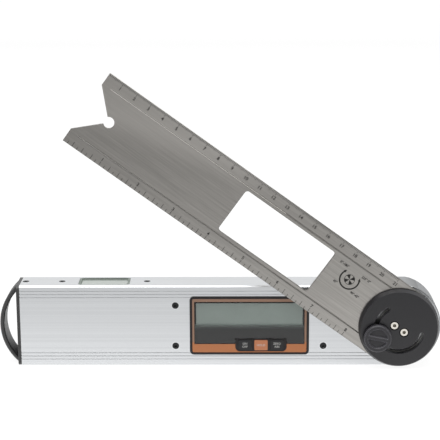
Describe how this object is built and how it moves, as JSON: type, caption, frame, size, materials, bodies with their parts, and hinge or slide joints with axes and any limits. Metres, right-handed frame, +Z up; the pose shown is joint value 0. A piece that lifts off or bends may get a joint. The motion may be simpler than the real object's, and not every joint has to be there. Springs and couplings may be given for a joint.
{
  "type": "digital angle gauge",
  "caption": "Digital angle gauge: a windowed steel rule hinged on a grooved aluminium body with a display, buttons, a spirit vial, a lock knob and a hanging loop.",
  "frame": {"origin": "on the base face, under the pivot axis, at half the body's depth", "axes": "+X along the body towards the pivot end, +Y from the display face to the back, +Z up"},
  "size_m": [0.2665, 0.0323, 0.1786],
  "materials": {
    "silver_anodised": "satin",
    "grey_plastic": "matte",
    "cap_plastic": "matte",
    "black_screw": "satin",
    "black_plastic": "matte",
    "black_anodised": "satin",
    "copper_trim": "satin",
    "lens_clear": "clear",
    "lcd_grey": "satin",
    "vial_acrylic": "clear",
    "vial_fluid": "clear",
    "vial_air": "clear",
    "white_nylon": "matte",
    "board_green": "satin",
    "ribbon_film": "gloss",
    "strip_rubber": "matte",
    "bright_steel": "polished",
    "blade_steel": "brushed",
    "bush_brass": "machined"
  },
  "bodies": {
    "body": {"body_extrusion": "silver_anodised", "nose_plug": "grey_plastic", "end_cap": "cap_plastic", "top_screws": "black_screw", "display_screws": "black_screw", "cover_screw": "black_screw", "display_frame": "black_plastic", "battery_tray": "black_plastic", "battery_cover": "black_plastic", "encoder_base": "black_plastic", "display_fascia": "copper_trim", "display_lens": "lens_clear", "lcd_glass": "lcd_grey", "vial_block": "vial_acrylic", "vial_liquid": "vial_fluid", "vial_bubble": "vial_air", "vial_holder": "white_nylon", "vial_plug": "white_nylon", "friction_washer": "white_nylon", "thrust_washer": "white_nylon", "lock_spacer": "white_nylon", "circuit_board": "board_green", "encoder_stator": "board_green", "encoder_ribbon": "ribbon_film", "contact_strips": "strip_rubber", "dome_switches": "bright_steel", "board_screws": "bright_steel", "battery_contacts": "bright_steel", "coin_cell": "bright_steel", "disc_spring": "bright_steel", "lock_stud": "bright_steel", "lock_washer": "bright_steel", "pivot_bush": "bush_brass"},
    "blade": {"blade": "blade_steel", "pivot_disc": "black_anodised", "pivot_screws": "bright_steel", "pivot_shaft": "bright_steel", "encoder_rotor": "board_green", "retaining_clip": "bright_steel"},
    "lock_knob": {"lock_knob": "black_plastic"},
    "button_on_off": {"button_on_off": "black_plastic"},
    "button_hold": {"button_hold": "copper_trim"},
    "button_zero": {"button_zero": "black_plastic"}
  },
  "joints": [
    {"name": "blade_pivot", "type": "hinge", "parent": "body", "child": "blade", "pos_m": [0, -0.0128, 0.025], "axis": [0, 1, 0], "range_deg": [-81, 144]},
    {"name": "lock_knob_turn", "type": "hinge", "parent": "body", "child": "lock_knob", "pos_m": [-0.01307, -0.0202, 0.01998], "axis": [0, -1, 0], "range_deg": [0, 180]},
    {"name": "button_on_off_press", "type": "slide", "parent": "body", "child": "button_on_off", "axis": [0, 1, 0], "range_m": [0, 0.0005], "stiffness_N_per_m": 400},
    {"name": "button_hold_press", "type": "slide", "parent": "body", "child": "button_hold", "axis": [0, 1, 0], "range_m": [0, 0.0005], "stiffness_N_per_m": 400},
    {"name": "button_zero_press", "type": "slide", "parent": "body", "child": "button_zero", "axis": [0, 1, 0], "range_m": [0, 0.0005], "stiffness_N_per_m": 400}
  ]
}
